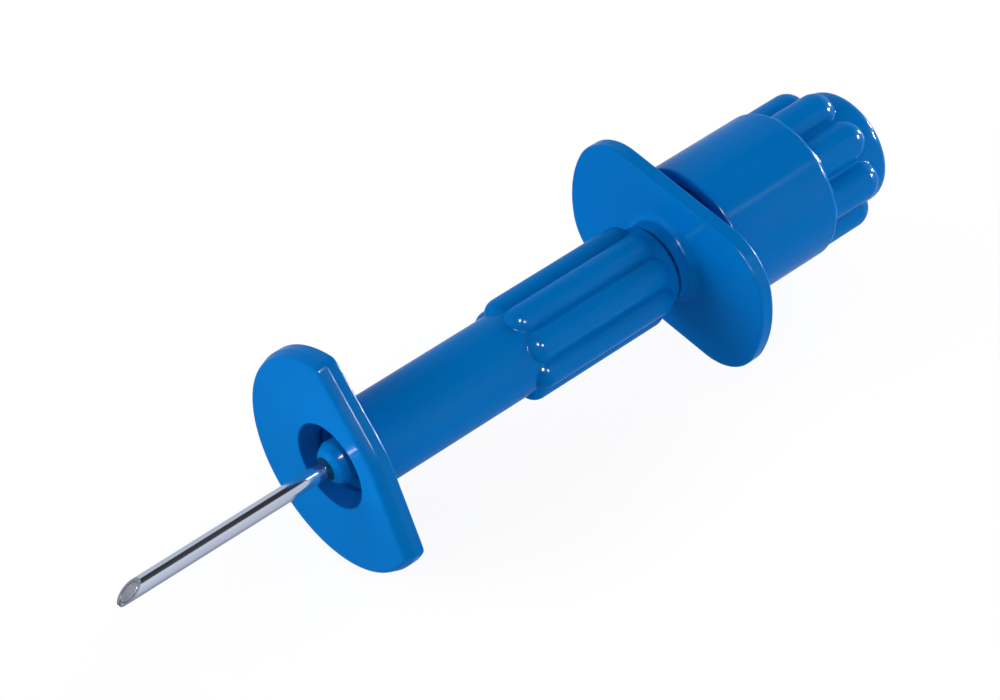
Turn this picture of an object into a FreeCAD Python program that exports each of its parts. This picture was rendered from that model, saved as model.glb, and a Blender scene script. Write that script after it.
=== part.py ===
import FreeCAD, Part
import math
import os
import re

import Sketcher

# Bone marrow needle with a screw guard, in millimetres.
# X runs along the needle towards the knob and Z is square to the finger flange's flats.
# The origin is the centre of the skin flange's front face, on the needle's axis.

SIZES = {
    # needle and stylet
    "needle_reach": 26.2,
    "needle_radius": 0.915,
    "needle_bore": 0.685,
    "anchor_height": 0.16,
    "anchor_stand": 0.06,
    "anchor_length": 1.8,
    "stylet_clearance": 0.06,
    "bevel_length": 2.7,
    "bevel_direction": 80,
    "tip_land": 0.06,
    "bond_gap": 0.02,
    "bond_bead_length": 0.35,
    "bond_bead_height": 0.14,
    # hub: nose, threaded stem and spigot
    "nose_stand": 0.54,
    "nose_front_radius": 1.2,
    "nose_base_radius": 2.34,
    "nose_length": 1.34,
    "throat_length": 2.2,
    "stem_radius": 3.3,
    "stem_chamfer": 0.5,
    # skin flange of the guard
    "skin_radius": 12.4,
    "skin_flat": 7.9,
    "skin_flat_direction": 129.4,
    "skin_corner": 1.2,
    "skin_thickness": 2.4,
    "skin_front_chamfer": 0.5,
    "mouth_radius": 4.84,
    "mouth_depth": 1.63,
    # barrel and fluted grip of the guard
    "barrel_radius": 4.6,
    "grip_start": 23.3,
    "guard_length": 43.6,
    "guard_bore": 3.7,
    "grip_rib_radius": 1.75,
    "grip_rib_circle": 3.95,
    "grip_rib_setback": 0.9,
    "grip_rib_phase": 0.5,
    "rib_count": 8,
    # screw insert and friction ring inside the guard
    "insert_length": 6.4,
    "insert_radius": 4.1,
    "insert_setback": 0.5,
    "screw_clearance": 0.05,
    "ring_width": 1.5,
    "ring_play": 0.15,
    "ring_grip": 0.03,
    # finger flange
    "guard_gap": 0.3,
    "boss_radius": 4.5,
    "boss_length": 1.85,
    "boss_flare": 0.8,
    "finger_radius": 14.25,
    "finger_flat": 8.9,
    "finger_corner": 6.6,
    "finger_thickness": 1.75,
    "finger_edge_chamfer": 0.25,
    "neck_radius": 6.4,
    "neck_length": 5.5,
    "neck_chamfer": 0.3,
    "key_width": 1.6,
    "key_length": 3.0,
    "key_height": 1.05,
    "key_direction": 270,
    "key_clearance": 0.15,
    # syringe socket
    "socket_base_radius": 4.6,
    "socket_base_length": 1.2,
    "socket_outer_radius": 3.3,
    "socket_mouth": 2.15,
    "taper_per_length": 0.03,
    "taper_length": 6.2,
    "passage_clearance": 0.1,
    "lug_reach": 3.9,
    "lug_width": 3.4,
    "lug_thickness": 1.1,
    # stylet cap
    "slit": 1.7,
    "cap_radius": 8.49,
    "cap_length": 14.05,
    "cap_chamfer": 0.5,
    "cap_rim_chamfer": 0.2,
    "cap_wall": 1.49,
    "cap_roof": 1.6,
    "knob_radius": 6.5,
    "knob_length": 9.75,
    "knob_chamfer": 0.8,
    "knob_dome": 0.3,
    "knob_rib_radius": 2.3,
    "knob_rib_circle": 5.95,
    "knob_rib_length": 7.55,
    "knob_rib_phase": 31,
    # plug and collar that hold the stylet
    "plug_clearance": 0.03,
    "plug_tip_gap": 0.4,
    "plug_seat_gap": 0.3,
    "plug_flange_radius": 3.6,
    "plug_flange_thickness": 1.35,
    "plug_spigot_radius": 2.0,
    "plug_spigot_length": 2.0,
    "collar_gap": 0.2,
    "collar_length": 4.0,
}

doc = FreeCAD.newDocument("BoneMarrowNeedle")
sheet = doc.addObject("Spreadsheet::Sheet", "Sizes")
for row, (alias, value) in enumerate(SIZES.items(), start=1):
    sheet.set(f"A{row}", alias)
    sheet.set(f"B{row}", str(value))
    sheet.setAlias(f"B{row}", alias)
doc.recompute()

# Stations along the needle's axis, each a formula of the sizes above.
HUB_FRONT = "-nose_stand"
NOSE_BASE = f"({HUB_FRONT} + nose_length)"
THROAT_END = f"({NOSE_BASE} + throat_length)"
INSERT_BACK = "(guard_length - insert_setback)"
INSERT_FRONT = f"({INSERT_BACK} - insert_length)"
POCKET_FRONT = f"({INSERT_FRONT} - ring_width - 2 * ring_play)"
BOSS_FRONT = "(guard_length + guard_gap)"
FINGER_FRONT = f"({BOSS_FRONT} + boss_length)"
FINGER_BACK = f"({FINGER_FRONT} + finger_thickness)"
NECK_BACK = f"({FINGER_BACK} + neck_length)"
SOCKET_BASE = f"({NECK_BACK} - socket_base_length)"
SPIGOT_BACK = f"({SOCKET_BASE} - plug_seat_gap)"
CAP_FRONT = f"({FINGER_BACK} + slit)"
CAP_BACK = f"({CAP_FRONT} + cap_length)"
ROOF = f"({CAP_BACK} - cap_roof)"
SOCKET_MOUTH = f"({ROOF} - plug_flange_thickness - plug_seat_gap)"
TAPER_END = f"({SOCKET_MOUTH} - taper_length)"
KNOB_EDGE = f"({CAP_BACK} + knob_length)"
PLUG_BACK = f"({ROOF} + plug_spigot_length)"
COLLAR_FRONT = f"({PLUG_BACK} + collar_gap)"
STYLET_BACK = f"({COLLAR_FRONT} + collar_length)"
STYLET_RADIUS = "(needle_bore - stylet_clearance)"
ANCHOR_FRONT = f"({HUB_FRONT} - anchor_stand)"
ANCHOR_BACK = f"({ANCHOR_FRONT} + anchor_length)"
ANCHOR_RADIUS = "(needle_radius + anchor_height)"
CAP_BORE = "(cap_radius - cap_wall)"


def formula(text):
    """Put the sheet's name before each size that a formula names."""
    return re.sub(r"[a-z_]+", lambda word: "Sizes." + word[0] if word[0] in SIZES else word[0], text)


def number(text):
    """Work a formula out, for the first place of a sketch's points."""
    return float(sheet.evalExpression(formula(text)))


def bind(item, path, text):
    """Bind one property of an object to a formula of the sizes."""
    item.setExpression(path, formula(text))


def new_body(label):
    """Start one sub-part as a body with its own label."""
    body = doc.addObject("PartDesign::Body", label)
    body.Label = label
    body.Placement = FreeCAD.Placement()
    return body


def origin_plane(body, role):
    """Find one of a body's own origin planes."""
    return next(item for item in body.Origin.OriginFeatures if item.Role == role)


def arc_through(start, end, radius):
    """Make the shorter arc from start to end, turning left for a positive radius."""
    chord = end - start
    middle = (start + end) * 0.5
    height = math.sqrt(max(radius ** 2 - (chord.Length / 2) ** 2, 0.0))
    left = FreeCAD.Vector(-chord.y, chord.x, 0).normalize()
    centre = middle + left * math.copysign(height, radius)
    first, last = (start, end) if radius > 0 else (end, start)
    circle = Part.Circle(centre, FreeCAD.Vector(0, 0, 1), abs(radius))
    first_angle = math.atan2(first.y - centre.y, first.x - centre.x)
    last_angle = math.atan2(last.y - centre.y, last.x - centre.x)
    return Part.ArcOfCircle(circle, first_angle, last_angle)


def draw(sketch, corners, arcs=None):
    """Draw a closed outline: corners are pairs of formulas, arcs give an edge's radius by its corner."""
    arcs = arcs or {}
    points = [FreeCAD.Vector(number(x), number(y), 0) for x, y in corners]
    ends = []
    for index, start in enumerate(points):
        end = points[(index + 1) % len(points)]
        if index in arcs:
            radius = number(arcs[index])
            edge = sketch.addGeometry(arc_through(start, end, radius))
            ends.append((edge, 1, 2) if radius > 0 else (edge, 2, 1))
            size = sketch.addConstraint(Sketcher.Constraint("Radius", edge, abs(radius)))
            sketch.renameConstraint(size, f"bend{index}")
            bind(sketch, f"Constraints.bend{index}", f"abs({arcs[index]})")
        else:
            edge = sketch.addGeometry(Part.LineSegment(start, end))
            ends.append((edge, 1, 2))
    for index, (edge, _, last) in enumerate(ends):
        following, first, _ = ends[(index + 1) % len(ends)]
        sketch.addConstraint(Sketcher.Constraint("Coincident", edge, last, following, first))
    for index, (edge, first, _) in enumerate(ends):
        for kind, text, value in zip(("DistanceX", "DistanceY"), corners[index], points[index]):
            row = sketch.addConstraint(Sketcher.Constraint(kind, -1, 1, edge, first, value))
            sketch.renameConstraint(row, f"{kind}{index}")
            bind(sketch, f"Constraints.{kind}{index}", text)


def lengthwise_sketch(body, name, turn="0"):
    """Start a sketch in the plane through the axis, turned about it from Y towards Z."""
    sketch = body.newObject("Sketcher::SketchObject", name)
    sketch.AttachmentSupport = [(origin_plane(body, "XY_Plane"), "")]
    sketch.MapMode = "FlatFace"
    sketch.AttachmentOffset = FreeCAD.Placement(FreeCAD.Vector(), FreeCAD.Rotation(FreeCAD.Vector(1, 0, 0), 1))
    bind(sketch, "AttachmentOffset.Rotation.Angle", turn)
    return sketch


def crosswise_sketch(body, name, station, turn="0"):
    """Start a sketch square to the axis at a station, with its own x turned from Y towards Z."""
    sketch = body.newObject("Sketcher::SketchObject", name)
    sketch.AttachmentSupport = [(origin_plane(body, "YZ_Plane"), "")]
    sketch.MapMode = "FlatFace"
    sketch.AttachmentOffset = FreeCAD.Placement(FreeCAD.Vector(), FreeCAD.Rotation(FreeCAD.Vector(0, 0, 1), 1))
    bind(sketch, "AttachmentOffset.Base.z", station)
    bind(sketch, "AttachmentOffset.Rotation.Angle", turn)
    return sketch


def turned(body, name, corners, arcs=None, kind="Revolution", turn="0", axis="H_Axis"):
    """Turn a lengthwise outline of (station, radius) corners round the axis, adding or cutting."""
    sketch = lengthwise_sketch(body, name + "_outline", turn)
    draw(sketch, corners, arcs)
    feature = body.newObject("PartDesign::" + kind, name)
    feature.Profile = sketch
    feature.ReferenceAxis = (sketch, [axis])
    feature.Angle = 360
    doc.recompute()
    return feature


def bored(body, name, corners, arcs=None):
    """Cut a turned hollow and make sure that it took material away."""
    before = body.Shape.Volume
    feature = turned(body, name, corners, arcs, kind="Groove")
    if feature.Shape.Volume >= before:
        raise RuntimeError(name + " cuts nothing")
    return feature


def padded(body, name, corners, arcs, station, length, turn):
    """Raise a crosswise outline along the axis."""
    sketch = crosswise_sketch(body, name + "_outline", station, turn)
    draw(sketch, corners, arcs)
    feature = body.newObject("PartDesign::Pad", name)
    feature.Profile = sketch
    bind(feature, "Length", length)
    doc.recompute()
    return feature


def face_at(feature, station):
    """Name the flat face that is square to the axis at a station."""
    place = number(station)
    for index, face in enumerate(feature.Shape.Faces, start=1):
        box = face.BoundBox
        if box.XLength < 1e-6 and abs(box.XMin - place) < 1e-6:
            return f"Face{index}"
    raise RuntimeError(feature.Name + " has no face at " + station)


def chamfered(body, name, base, station, size):
    """Break every edge of the flat face at a station."""
    feature = body.newObject("PartDesign::Chamfer", name)
    feature.Base = (base, [face_at(base, station)])
    bind(feature, "Size", size)
    doc.recompute()
    return feature


def patterned(body, name, originals, count):
    """Repeat features evenly round the axis."""
    feature = body.newObject("PartDesign::PolarPattern", name)
    feature.Originals = originals
    feature.Axis = (origin_plane(body, "X_Axis"), [""])
    feature.Angle = 360
    bind(feature, "Occurrences", count)
    body.Tip = feature
    doc.recompute()
    return feature


def ribs_round(body, turn, circle, radius, front, back, front_end):
    """Set round ribs evenly round the axis; a free end is bevelled over the outer half of its height."""
    half = f"({circle} + {radius} / 2)"
    top = f"({circle} + {radius})"
    corners = [(front, circle), (back, circle), (back, half), (f"({back} - {radius} / 2)", top)]
    if front_end:
        corners += [(f"({front} + {radius} / 2)", top), (front, half)]
    else:
        corners.append((front, top))
    sketch = lengthwise_sketch(body, "rib_outline", turn)
    draw(sketch, corners)
    rib = body.newObject("PartDesign::Revolution", "rib")
    rib.Profile = sketch
    rib.ReferenceAxis = (sketch, ["Edge1"])
    rib.Angle = 360
    doc.recompute()
    return patterned(body, "ribs", [rib], "rib_count")


def plate_outline(radius, flat, corner, flats):
    """Give a round plate's outline with one or two flats, square to its x, and rounded corners.

    A corner's circle touches the flat and the rim, so its centre lies at flat - corner
    along x and at half_width along y, radius - corner from the middle.
    """
    half_width = f"sqrt(({radius} - {corner})^2 - ({flat} - {corner})^2)"
    rim_x = f"({radius} * ({flat} - {corner}) / ({radius} - {corner}))"
    rim_y = f"({radius} * {half_width} / ({radius} - {corner}))"
    right = [(flat, "-" + half_width), (flat, half_width), (rim_x, rim_y)]
    if flats == 1:
        corners = right + [("-" + radius, "0"), (rim_x, "-" + rim_y)]
        return corners, {1: corner, 2: radius, 3: radius, 4: corner}
    left = [("-" + rim_x, rim_y), ("-" + flat, half_width), ("-" + flat, "-" + half_width)]
    corners = right + left + [("-" + rim_x, "-" + rim_y), (rim_x, "-" + rim_y)]
    return corners, {1: corner, 2: radius, 3: corner, 5: corner, 6: radius, 7: corner}


def bevel(body, radius):
    """Cut the slanted point: the plane leaves a small land at the tip and rises to the heel."""
    before = body.Shape.Volume
    tip = "-needle_reach"
    low = "-(needle_radius - tip_land)"
    slope = "((2 * needle_radius - tip_land) / bevel_length)"
    reach = f"({radius} + needle_radius)"
    heel = f"({tip} + ({reach} + needle_radius - tip_land) / {slope})"
    sketch = lengthwise_sketch(body, "bevel_outline", "bevel_direction")
    draw(sketch, [(f"({tip} - 1)", low), (tip, low), (heel, reach), (f"({tip} - 1)", reach)])
    feature = body.newObject("PartDesign::Pocket", "bevel")
    feature.Profile = sketch
    feature.Midplane = True
    bind(feature, "Length", "4 * needle_radius")
    doc.recompute()
    if feature.Shape.Volume >= before:
        raise RuntimeError("the bevel cuts nothing")


def make_cannula():
    """The needle's tube; a swaged band anchors it in the hub's nose."""
    body = new_body("cannula")
    turned(body, "tube", [
        ("-needle_reach", "needle_bore"),
        (SPIGOT_BACK, "needle_bore"),
        (SPIGOT_BACK, "needle_radius"),
        (ANCHOR_BACK, "needle_radius"),
        (ANCHOR_BACK, ANCHOR_RADIUS),
        (ANCHOR_FRONT, ANCHOR_RADIUS),
        (ANCHOR_FRONT, "needle_radius"),
        ("-needle_reach", "needle_radius"),
    ])
    bevel(body, "needle_radius")
    return body


def make_stylet():
    body = new_body("stylet")
    turned(body, "rod", [
        ("-needle_reach", "0"),
        (STYLET_BACK, "0"),
        (STYLET_BACK, STYLET_RADIUS),
        ("-needle_reach", STYLET_RADIUS),
    ])
    bevel(body, STYLET_RADIUS)
    return body


def make_needle_bond():
    """The fillet of cement between the bare needle and its anchor band."""
    body = new_body("needle_bond")
    inner = "(needle_radius + bond_gap)"
    turned(body, "bead", [
        (f"({ANCHOR_FRONT} - bond_bead_length)", inner),
        (ANCHOR_FRONT, inner),
        (ANCHOR_FRONT, f"({inner} + bond_bead_height)"),
    ])
    return body


def make_cannula_hub():
    """The nose and its throat, and the stem that the guard screws along."""
    body = new_body("cannula_hub")
    hole = "(needle_radius + bond_gap)"
    anchor_hole = f"({ANCHOR_RADIUS} + bond_gap)"
    turned(body, "stem", [
        (HUB_FRONT, anchor_hole),
        (f"({ANCHOR_BACK} + bond_gap)", anchor_hole),
        (f"({ANCHOR_BACK} + bond_gap)", hole),
        (SPIGOT_BACK, hole),
        (SPIGOT_BACK, "stem_radius"),
        (f"({THROAT_END} + stem_chamfer)", "stem_radius"),
        (THROAT_END, "(stem_radius - stem_chamfer)"),
        (THROAT_END, "nose_base_radius"),
        (NOSE_BASE, "nose_base_radius"),
        (HUB_FRONT, "nose_front_radius"),
    ])
    return body


def make_guard_sleeve():
    """Skin flange, barrel and fluted grip in one moulding."""
    body = new_body("guard_sleeve")
    corners, arcs = plate_outline("skin_radius", "skin_flat", "skin_corner", 1)
    plate = padded(body, "skin_plate", corners, arcs, "0", "skin_thickness", "skin_flat_direction")
    chamfered(body, "skin_front_edge", plate, "0", "skin_front_chamfer")
    middle = "(skin_thickness / 2)"
    turned(body, "barrel", [
        (middle, "0"),
        ("guard_length", "0"),
        ("guard_length", "barrel_radius"),
        (middle, "barrel_radius"),
    ])
    rib_end = "(guard_length - grip_rib_setback)"
    ribs_round(body, "grip_rib_phase", "grip_rib_circle", "grip_rib_radius", "grip_start", rib_end, True)
    bored(body, "bore", [
        ("-1", "0"),
        ("(guard_length + 1)", "0"),
        ("(guard_length + 1)", "insert_radius"),
        (POCKET_FRONT, "insert_radius"),
        (POCKET_FRONT, "guard_bore"),
        ("mouth_depth", "guard_bore"),
        ("0", "mouth_radius"),
        ("-1", "mouth_radius"),
    ])
    return body


def make_guard_insert():
    """The screw insert that runs on the hub's thread."""
    body = new_body("guard_insert")
    turned(body, "insert", [
        (INSERT_FRONT, "(stem_radius + screw_clearance)"),
        (INSERT_BACK, "(stem_radius + screw_clearance)"),
        (INSERT_BACK, "(insert_radius - bond_gap)"),
        (INSERT_FRONT, "(insert_radius - bond_gap)"),
    ])
    return body


def make_guard_friction_ring():
    """The ring that drags on the stem, so that the guard stays where it is turned to."""
    body = new_body("guard_friction_ring")
    front = f"({POCKET_FRONT} + ring_play)"
    turned(body, "ring", [
        (front, "(stem_radius + ring_grip)"),
        (f"({front} + ring_width)", "(stem_radius + ring_grip)"),
        (f"({front} + ring_width)", "(insert_radius - ring_play)"),
        (front, "(insert_radius - ring_play)"),
    ])
    return body


def make_finger_flange():
    """Flared root, two-winged plate and neck with its key."""
    body = new_body("finger_flange")
    corners, arcs = plate_outline("finger_radius", "finger_flat", "finger_corner", 2)
    plate = padded(body, "wings", corners, arcs, FINGER_FRONT, "finger_thickness", "90")
    front = chamfered(body, "wing_front_edge", plate, FINGER_FRONT, "finger_edge_chamfer")
    chamfered(body, "wing_back_edge", front, FINGER_BACK, "finger_edge_chamfer")
    middle = f"({FINGER_FRONT} + finger_thickness / 2)"
    turned(body, "boss", [
        (BOSS_FRONT, "0"),
        (middle, "0"),
        (middle, "(boss_radius + boss_flare)"),
        (FINGER_FRONT, "(boss_radius + boss_flare)"),
        (f"({FINGER_FRONT} - boss_flare)", "boss_radius"),
        (BOSS_FRONT, "boss_radius"),
    ])
    turned(body, "neck", [
        (middle, "0"),
        (NECK_BACK, "0"),
        (NECK_BACK, "(neck_radius - neck_chamfer)"),
        (f"({NECK_BACK} - neck_chamfer)", "neck_radius"),
        (middle, "neck_radius"),
    ])
    key_front = f"({NECK_BACK} - key_length)"
    padded(body, "key", [
        ("(neck_radius - key_width / 2)", "-key_width / 2"),
        ("(neck_radius + key_height)", "-key_width / 2"),
        ("(neck_radius + key_height)", "key_width / 2"),
        ("(neck_radius - key_width / 2)", "key_width / 2"),
    ], {}, key_front, "key_length - neck_chamfer", "key_direction")
    bored(body, "bore", [
        (f"({BOSS_FRONT} - 1)", "0"),
        (f"({NECK_BACK} + 1)", "0"),
        (f"({NECK_BACK} + 1)", "(socket_base_radius + bond_gap)"),
        (SOCKET_BASE, "(socket_base_radius + bond_gap)"),
        (SOCKET_BASE, "(stem_radius + bond_gap)"),
        (f"({BOSS_FRONT} - 1)", "(stem_radius + bond_gap)"),
    ])
    return body


def make_luer_socket():
    """The tapered syringe socket, with its locking lugs, set in the neck."""
    body = new_body("luer_socket")
    passage = f"({STYLET_RADIUS} + passage_clearance)"
    taper_root = "(socket_mouth - taper_per_length * taper_length)"
    turned(body, "tube", [
        (SOCKET_BASE, passage),
        (TAPER_END, passage),
        (TAPER_END, taper_root),
        (SOCKET_MOUTH, "socket_mouth"),
        (SOCKET_MOUTH, "socket_outer_radius"),
        (NECK_BACK, "socket_outer_radius"),
        (NECK_BACK, "socket_base_radius"),
        (SOCKET_BASE, "socket_base_radius"),
    ])
    lug = padded(body, "lug", [
        ("(socket_outer_radius - lug_thickness / 4)", "-lug_width / 2"),
        ("lug_reach", "-lug_width / 2"),
        ("lug_reach", "lug_width / 2"),
        ("(socket_outer_radius - lug_thickness / 4)", "lug_width / 2"),
    ], {}, f"({SOCKET_MOUTH} - lug_thickness)", "lug_thickness", "0")
    patterned(body, "lugs", [lug], "2")
    return body


def make_stylet_cap():
    """Skirt, ribbed knob and smooth end in one moulding."""
    body = new_body("stylet_cap")
    turned(body, "shell", [
        (CAP_FRONT, "0"),
        (f"({KNOB_EDGE} + knob_dome)", "0"),
        (KNOB_EDGE, "(knob_radius - knob_chamfer)"),
        (f"({KNOB_EDGE} - knob_chamfer)", "knob_radius"),
        (CAP_BACK, "knob_radius"),
        (CAP_BACK, "(cap_radius - cap_chamfer)"),
        (f"({CAP_BACK} - cap_chamfer)", "cap_radius"),
        (f"({CAP_FRONT} + cap_rim_chamfer)", "cap_radius"),
        (CAP_FRONT, "(cap_radius - cap_rim_chamfer)"),
    ])
    rib_front = f"({CAP_BACK} - cap_roof / 2)"
    rib_end = f"({CAP_BACK} + knob_rib_length)"
    ribs_round(body, "knob_rib_phase", "knob_rib_circle", "knob_rib_radius", rib_front, rib_end, False)
    bored(body, "inside", [
        (f"({CAP_FRONT} - 1)", "0"),
        (STYLET_BACK, "0"),
        (STYLET_BACK, "(plug_spigot_radius + bond_gap)"),
        (ROOF, "(plug_spigot_radius + bond_gap)"),
        (ROOF, CAP_BORE),
        (f"({CAP_FRONT} - 1)", CAP_BORE),
    ])
    before = body.Shape.Volume
    slot_width = "(key_width / 2 + key_clearance)"
    slot_sketch = crosswise_sketch(body, "key_slot_outline", CAP_FRONT, "key_direction")
    slot_top = "(neck_radius + key_height + key_clearance)"
    draw(slot_sketch, [
        (f"({CAP_BORE} - cap_wall / 2)", "-" + slot_width),
        (slot_top, "-" + slot_width),
        (slot_top, slot_width),
        (f"({CAP_BORE} - cap_wall / 2)", slot_width),
    ])
    slot = body.newObject("PartDesign::Pocket", "key_slot")
    slot.Profile = slot_sketch
    slot.Reversed = True
    bind(slot, "Length", f"{NECK_BACK} - {CAP_FRONT} + plug_seat_gap")
    doc.recompute()
    if slot.Shape.Volume >= before:
        raise RuntimeError("the key slot cuts nothing")
    return body


def make_luer_plug():
    """The tapered plug that seats in the socket and holds the stylet straight."""
    body = new_body("luer_plug")
    hole = f"({STYLET_RADIUS} + bond_gap)"
    tip = f"({TAPER_END} + plug_tip_gap)"
    flange = f"({SOCKET_MOUTH} + plug_seat_gap)"
    mouth = "(socket_mouth - plug_clearance)"
    turned(body, "plug", [
        (tip, hole),
        (PLUG_BACK, hole),
        (PLUG_BACK, "plug_spigot_radius"),
        (ROOF, "plug_spigot_radius"),
        (ROOF, "plug_flange_radius"),
        (flange, "plug_flange_radius"),
        (flange, mouth),
        (SOCKET_MOUTH, mouth),
        (tip, f"({mouth} - taper_per_length * (taper_length - plug_tip_gap))"),
    ])
    return body


def make_stylet_collar():
    """The collar crimped on the stylet's end inside the knob."""
    body = new_body("stylet_collar")
    turned(body, "collar", [
        (COLLAR_FRONT, f"({STYLET_RADIUS} + bond_gap)"),
        (STYLET_BACK, f"({STYLET_RADIUS} + bond_gap)"),
        (STYLET_BACK, "plug_spigot_radius"),
        (COLLAR_FRONT, "plug_spigot_radius"),
    ])
    return body


def check_document():
    """Stop if any object of the document has failed."""
    for item in doc.Objects:
        if "Invalid" in item.State or "Error" in item.State:
            raise RuntimeError(f"{item.Name} of {item.Label} failed: {item.State}")


def export(body):
    """Check one sub-part's solid and write it to its own file."""
    shape = body.Shape
    if shape.isNull() or not shape.isValid() or len(shape.Solids) != 1:
        raise RuntimeError(body.Label + " is not one valid solid")
    shape.exportStep(os.path.join("parts", body.Label + ".step"))
    print(f"{body.Label}: {shape.Volume:.2f} mm3")


bodies = [
    make_cannula(),
    make_stylet(),
    make_needle_bond(),
    make_cannula_hub(),
    make_guard_sleeve(),
    make_guard_insert(),
    make_guard_friction_ring(),
    make_finger_flange(),
    make_luer_socket(),
    make_stylet_cap(),
    make_luer_plug(),
    make_stylet_collar(),
]
doc.recompute()
check_document()
os.makedirs("parts", exist_ok=True)
for body in bodies:
    export(body)
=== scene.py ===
import bpy
import numpy as np
from mathutils import Matrix, Vector


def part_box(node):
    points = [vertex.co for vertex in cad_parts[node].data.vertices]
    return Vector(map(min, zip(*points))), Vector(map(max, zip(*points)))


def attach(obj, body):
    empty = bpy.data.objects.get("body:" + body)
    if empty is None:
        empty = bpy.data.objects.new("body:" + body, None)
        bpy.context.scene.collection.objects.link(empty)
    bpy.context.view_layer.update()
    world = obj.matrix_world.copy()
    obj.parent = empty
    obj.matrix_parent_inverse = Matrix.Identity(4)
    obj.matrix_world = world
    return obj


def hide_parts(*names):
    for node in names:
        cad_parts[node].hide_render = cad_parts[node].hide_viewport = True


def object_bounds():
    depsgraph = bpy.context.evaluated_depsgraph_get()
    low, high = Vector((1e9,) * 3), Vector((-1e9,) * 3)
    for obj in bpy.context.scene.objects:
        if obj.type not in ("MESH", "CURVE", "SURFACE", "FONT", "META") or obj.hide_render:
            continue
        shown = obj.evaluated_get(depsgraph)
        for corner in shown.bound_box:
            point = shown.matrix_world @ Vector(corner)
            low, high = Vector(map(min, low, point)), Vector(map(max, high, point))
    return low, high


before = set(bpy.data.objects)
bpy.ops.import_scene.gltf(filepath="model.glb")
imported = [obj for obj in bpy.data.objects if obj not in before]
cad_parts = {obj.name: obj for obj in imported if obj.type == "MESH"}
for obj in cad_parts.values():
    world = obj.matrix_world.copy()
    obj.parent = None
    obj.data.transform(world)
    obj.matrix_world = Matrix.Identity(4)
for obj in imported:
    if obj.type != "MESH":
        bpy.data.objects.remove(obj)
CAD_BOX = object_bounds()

# Bone marrow needle: the finished surfaces, the lights and the camera.
# A size is in millimetres, as in the model, unless its line says metres. A mesh is written in metres.

MM = 0.001
COLUMNS = 512          # points round the axis on a full surface
TURN = 2 * np.pi
EASE = 0.015           # how far a supporting ring stands from the curve that it holds
SHARP_ANGLE = np.radians(38)


def reach(node):
    """Give a node's box in millimetres, as its lowest and highest corner."""
    low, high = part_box(node)
    return np.array(low) / MM, np.array(high) / MM


# The corners of the frame's pieces, from which stations and radii are taken
GUARD_HIGH = reach("guard_sleeve")[1]
FLANGE_LOW, FLANGE_HIGH = reach("finger_flange")
CAP_LOW, CAP_HIGH = reach("stylet_cap")
HUB_LOW, HUB_HIGH = reach("cannula_hub")
CANNULA_LOW, CANNULA_HIGH = reach("cannula")
STYLET_HIGH = reach("stylet")[1]
BOND_LOW, BOND_HIGH = reach("needle_bond")

# The needle, its slanted point, its anchor band and its cement
NEEDLE_RADIUS = 0.915
NEEDLE_BORE = 0.685
ANCHOR_RADIUS = CANNULA_HIGH[1]
ANCHOR_STAND = 0.06
ANCHOR_LENGTH = 1.8
ANCHOR_EDGE = 0.02
STYLET_RADIUS = STYLET_HIGH[1]
TIP = CANNULA_LOW[0]
BEVEL_LENGTH = 2.7
BEVEL_TURN = np.radians(80)
TIP_LAND = 0.06
CUT_EDGE = 0.012       # how far within the cut's sharp outer edge its next ring lies
HOLE_GAP = 0.02
BOND_RADIUS = 1.32
BOND_GAP = 0.005
BOND_OVERLAP = 0.12    # how far the cement laps over the nose's front
BOND_HOLLOW = 1.4

# The guard: its skin flange, mouth, barrel and grip, and the ribs of grip and knob
SKIN_RADIUS = 12.4
SKIN_FLAT = 7.87
SKIN_FLAT_TURN = np.radians(129.4)
SKIN_CORNER = 1.2
SKIN_THICKNESS = 2.4
SKIN_FRONT_ROUND = 0.5
SKIN_DRAFT = np.radians(20)
SKIN_DRAFT_END = 1.2
SKIN_RIDGE_ROUND = 0.3
SKIN_SECOND_FLAT = 7.83
SKIN_SECOND_FLAT_TURN = np.radians(146.5)
SKIN_FLAT_CREASE = 0.25
SKIN_BACK_ROUND = 0.25
MOUTH_RADIUS = 4.84
MOUTH_DEPTH = 1.63
MOUTH_ROUND = 0.08
MOUTH_EASE = 0.02
BORE_STEPS = (1.2, 0.3, 0.0)  # how far behind the mouth's bottom the bore's rings lie
BARREL_RADIUS = 4.6
BARREL_ROOT_ROUND = 0.35
GRIP_START = 23.3
GUARD_BORE = 3.7
INSERT_RADIUS = 4.1
POCKET_FRONT = 34.9
GUARD_END_ROUND = 0.3
GUARD_END_WALL = 0.5   # how far inside the pocket's mouth a ring steadies its wall
GRIP_RIB_RADIUS = 1.75
GRIP_RIB_CIRCLE = 3.95
GRIP_RIB_SETBACK = 0.9
GRIP_RIB_TURN = np.radians(0.5)
GRIP_CREASE = 0.1
GRIP_LEAD = 0.3        # from the barrel's last ring to the grip's start
RIB_COUNT = 8
RIB_MARGIN = 0.1       # how far the ribs' rings reach past the ribs
RIB_LEAD = 0.4         # from a rib's ball end to the rings of its straight part
CREASE_DROP = 0.25     # the share of a crease's blend that is taken off again
GRIP_END_ROWS = 34
KNOB_END_ROWS = 36
RIB_ROWS = 8

# The finger flange: its flared root, its plate and its neck
BOSS_RADIUS = 4.5
BOSS_LENGTH = 1.85
BOSS_FLARE_ROUND = 1.3
BOSS_FLARE_START = 55  # in degrees, how far before the plate's face the flare's arc begins
BOSS_EDGE = 0.05
FINGER_RADIUS = 14.25
FINGER_FLAT = 8.9
FINGER_CORNER = 6.6
FINGER_THICKNESS = 1.75
FINGER_EDGE_ROUND = 0.3
NECK_RADIUS = 6.4
NECK_EDGE_ROUND = 0.3
NECK_BORE = 4.62
SEAT_DEPTH = 1.2       # how deep the neck's wide bore is, down to the stem's bore
STEM_RADIUS = HUB_HIGH[1]
STEM_BORE = 3.32

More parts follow.
